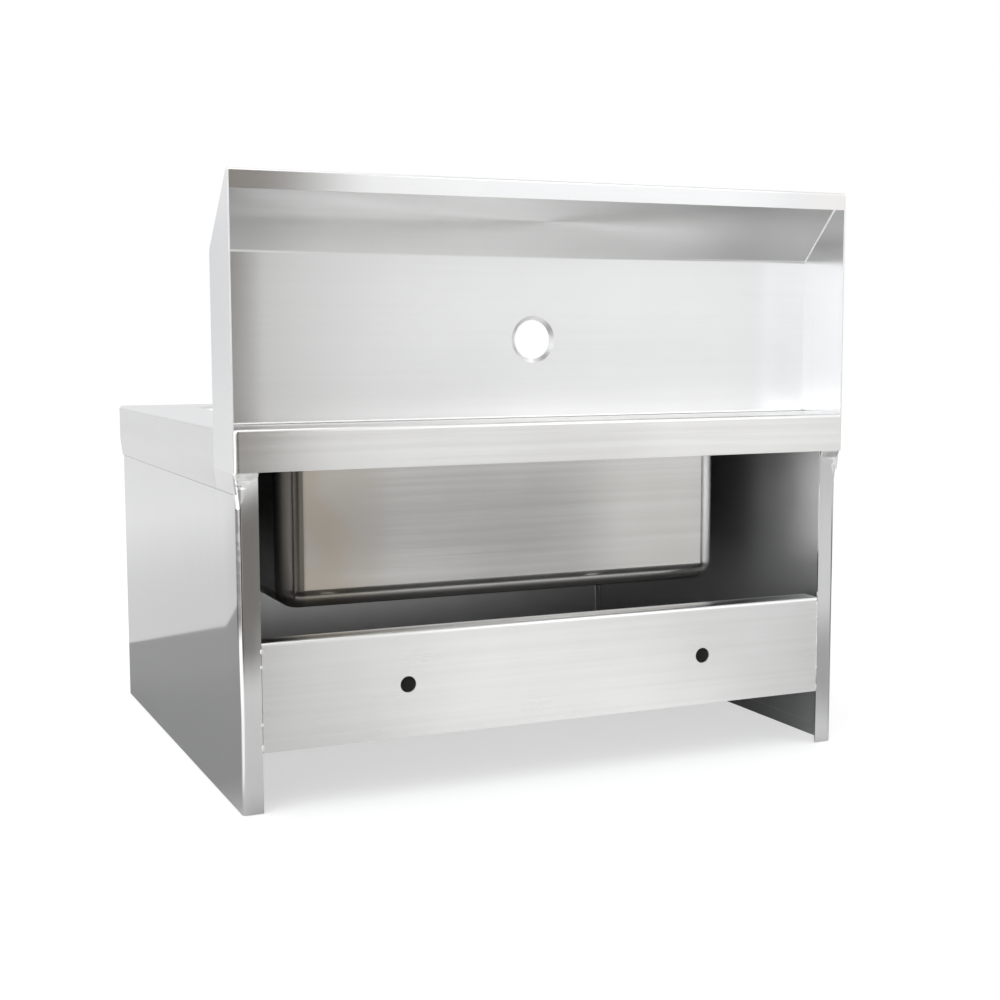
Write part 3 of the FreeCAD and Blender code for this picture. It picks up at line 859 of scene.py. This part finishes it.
def laid_on(below, mask, above):
    """One tone over another: the lower times one minus the mask, plus the upper times the mask."""
    return below * (1 - mask) + mask * above


floor = plane("floor", (-floor_half, -floor_half), (floor_half, floor_half), floor_z)
paper = Finish("floor_paper", Roughness=0.9, Specular_IOR_Level=0.1)
floor_x, floor_y, _ = paper.axes(paper.place)

# %% Floor behind the basin
left_tone, right_tone, tone_span_x = 0.67, 0.63, (-0.40, 0.10)
light_x, light_rim, light_gain = -0.08, (0.04, 0.24), 0.34
shaded_span_x, shaded_span_y, shaded_share = (-0.38, -0.24), (0.50, 0.80), 0.42
distant_span_y, distant_skew, distant_span, distant_tone = (0.82, 1.02), 0.52, (-0.09, 0.05), 0.26
aside_skew, aside_span, aside_span_x, aside_tone = 0.75, (-0.45, -0.25), (-1.8, -1.4), 0.18
beside_span_x, beside_span_y, beside_tone = (0.27, 0.34), (0.60, 0.75), 1.0

tone = paper.ease(floor_x, *tone_span_x, left_tone, right_tone)
tone = tone + paper.ease(abs(floor_x - light_x), *light_rim, light_gain, 0.0)
shaded = paper.fade(floor_x, *shaded_span_x) * paper.fade(floor_y, *shaded_span_y)
tone = tone * (1 - shaded_share * shaded)
distant = paper.ease(floor_y, *distant_span_y) * paper.ease(floor_x + distant_skew * floor_y, *distant_span)
tone = laid_on(tone, distant, distant_tone)
aside = paper.fade(floor_x + aside_skew * floor_y, *aside_span) * paper.ease(floor_x, *aside_span_x)
tone = laid_on(tone, aside, aside_tone)
beside = paper.ease(floor_x, *beside_span_x) * paper.fade(floor_y, *beside_span_y)
tone = laid_on(tone, beside, beside_tone)

# %% Floor under and before the basin
body_half, body_front_y = 0.2465, -0.2065
near_span_y, near_tone, sheltered_drop = (0.10, 0.28), 0.31, 0.09
front_span_y, front_tone = (-0.20, -0.30), 0.33
board_front_y, board_skew = -0.3207, 0.455
past_tone, past_drop, past_span = 0.88, 0.22, (-1.2, -0.1)

sheltered = abs(floor_x) < body_half
near = paper.ease(floor_y, *near_span_y)
tone = laid_on(tone, 1 - near, near_tone - sheltered_drop * sheltered)
tone = laid_on(tone, paper.ease(floor_y, *front_span_y), front_tone)
past_edge = floor_y + board_skew * floor_x - board_front_y
tone = laid_on(tone, past_edge < 0.0, past_tone - past_drop * paper.ease(past_edge, *past_span))
board_angle = math.degrees(math.atan(board_skew))
print("board edge at", board_front_y, "m, turned by", round(board_angle, 1), "degrees")

# %% Far floor
far_span_y, far_skew, far_span = (2.6, 3.2), 2.4, (1.40, 1.75)
sector_x, sector_y = 0.25, 0.21
dim_from, dim_to, dim_narrowing, dim_soft = (-0.60, -0.50), 0.27, 0.10, 0.10
dim_span_y = (0.55, 0.80)
near_dim, far_dim = (0.17, 0.16, 0.145), (0.30, 0.288, 0.27)
darkest, darkest_span = (0.06, 0.058, 0.054), (-0.12, 0.06)
warmth = 0.985

far = paper.ease(floor_y, *far_span_y).at_least(paper.ease(floor_y + far_skew * floor_x, *far_span))
tone = laid_on(tone, far, 1.0)
floor_compass = (sector_x - floor_x).bearing(floor_y - sector_y)
past_dim = floor_compass - (dim_to - dim_narrowing * far)
dim_sector = paper.fade(past_dim, 0.0, dim_soft) * paper.ease(floor_compass, *dim_from)
dim_floor = dim_sector * paper.ease(floor_y, *dim_span_y)
dim_tone = paper.blend(far, near_dim, far_dim)
dim_tone = paper.blend(paper.ease(floor_compass, *darkest_span), darkest, dim_tone)
ground = paper.blend(dim_floor, paper.joined(tone, tone, tone * warmth), dim_tone)

# %% Floor paper
shadow_paper, floor_glow = (0.48, 0.48, 0.48), 0.56
under_span_y = (-0.04, 0.04)
sunlit_span, sunlit_glow = (0.56, 0.68), 0.34

# Painted shadow: under the basin the camera's glow is left out, so the floor there is darker than its own
# shadow makes it.
painted_shadow_under = sheltered * paper.fade(floor_y, *under_span_y) * (floor_y > body_front_y)
# Painted light: outside the dim sector the far floor glows for what the steel reflects.
sunlit = far * paper.ease(floor_compass, *sunlit_span, sunlit_glow, 0.0) * (1 - dim_sector)
to_camera = paper.seen_by_camera()
glow = paper.blend(to_camera * (1 - painted_shadow_under), paper.joined(sunlit, sunlit, sunlit), (1, 1, 1))
paper.feed(Base_Color=paper.blend(to_camera, ground, shadow_paper), Emission_Color=glow)
paper.shader.inputs["Emission Strength"].default_value = floor_glow
floor.data.materials.append(paper.material)

# %% [markdown]
# ## Room and lamps
# The camera sees a plain white room. The steel sees one that is white too, but needs something darker to show
# its form: at eye level behind the camera there is a dim zone, low down towards -X there is another, and
# towards +X lies a window side that is brighter. The world could be one grey, and the steel would look like
# plastic. Here its colour follows the direction that a reflection looks in: a compass angle, which grows from
# +Y towards -X, and a height. Four soft lamps add the light itself at a plain level.

# %% Dim zones
world = bpy.data.worlds.new("studio")
bpy.context.scene.world = world
world.use_nodes = True
sky = Shading(world.node_tree)
towards_x, towards_y, height = sky.axes(sky.node("ShaderNodeTexCoord", output=0))
compass = (0 - towards_x).bearing(towards_y)

dim_lean, dim_rise, dim_fall, dim_top = 0.5, (-0.56, -0.46), (0.165, 0.24), (0.65, 0.95)
low_rise, low_fall, low_top = (0.95, 1.10), (1.40, 1.55), (0.15, 0.30)
dark_dim, pale_dim, pale_span = (0.06, 0.058, 0.054), (0.24, 0.23, 0.212), (-0.12, 0.06)

dim_zone = sky.band(compass - height * dim_lean, dim_rise, dim_fall) * sky.fade(height, *dim_top)
low_zone = sky.band(compass, low_rise, low_fall) * sky.fade(height, *low_top)
dim_colour = sky.blend(sky.ease(compass, *pale_span), dark_dim, pale_dim)

# %% White walls and window side
skirting_span, skirting_level = (-0.06, 0.02), 1.06
wall_span, wall_gain = (0.05, 0.12), 0.20
ceiling_span, ceiling_level = (0.45, 1.0), 0.83
rear_span, rear_level = (-0.4, 0.3), 0.78
window_span_x, window_span_y, window_gain, window_blue = (0.50, 0.62), (0.1, 0.4), 0.5, 0.03
cool_red, cool_blue = 0.995, 1.012

level = sky.ease(height, *skirting_span, skirting_level, 1.0) + sky.ease(height, *wall_span, 0.0, wall_gain)
level = level * sky.ease(height, *ceiling_span, 1.0, ceiling_level)
level = level * sky.ease(towards_y, *rear_span, rear_level, 1.0)
window_side = sky.ease(towards_x, *window_span_x) * sky.ease(towards_y, *window_span_y)
level = level * (1 + window_gain * window_side)
tinge = window_blue * window_side
white = sky.joined(level * (cool_red - tinge), level, level * (cool_blue + tinge))
room = sky.blend(dim_zone.at_least(low_zone), white, dim_colour)
seen = sky.blend(sky.seen_by_camera(), room, (1, 1, 1))
background = world.node_tree.nodes["Background"]
world.node_tree.links.new(seen.socket, background.inputs["Color"])
background.inputs["Strength"].default_value = 1.0


# %% Lamps
def softbox(name, place, target, size, power):
    """Square area lamp that looks at a point."""
    data = bpy.data.lights.new(name, "AREA")
    data.shape = "SQUARE"
    data.size = size
    data.energy = power
    lamp = bpy.data.objects.new(name, data)
    bpy.context.scene.collection.objects.link(lamp)
    lamp.location = place
    lamp.rotation_mode = "QUATERNION"
    lamp.rotation_quaternion = (Vector(target) - Vector(place)).to_track_quat("-Z", "Y")


softbox("overhead", (0.3, 0.5, 1.9), (0, 0, 0.2), 1.4, 5)
softbox("window", (-0.79, 1.75, 1.55), (0, 0.2, 0.2), 1.2, 4)
softbox("beside_camera", (1.35, 1.75, 0.95), (-0.15, 0.1, 0.2), 1.6, 6)
softbox("side_window", (1.9, 0.95, 0.25), (-0.2, 0.16, 0.16), 0.8, 6)

bpy.context.scene.view_settings.view_transform = "Standard"
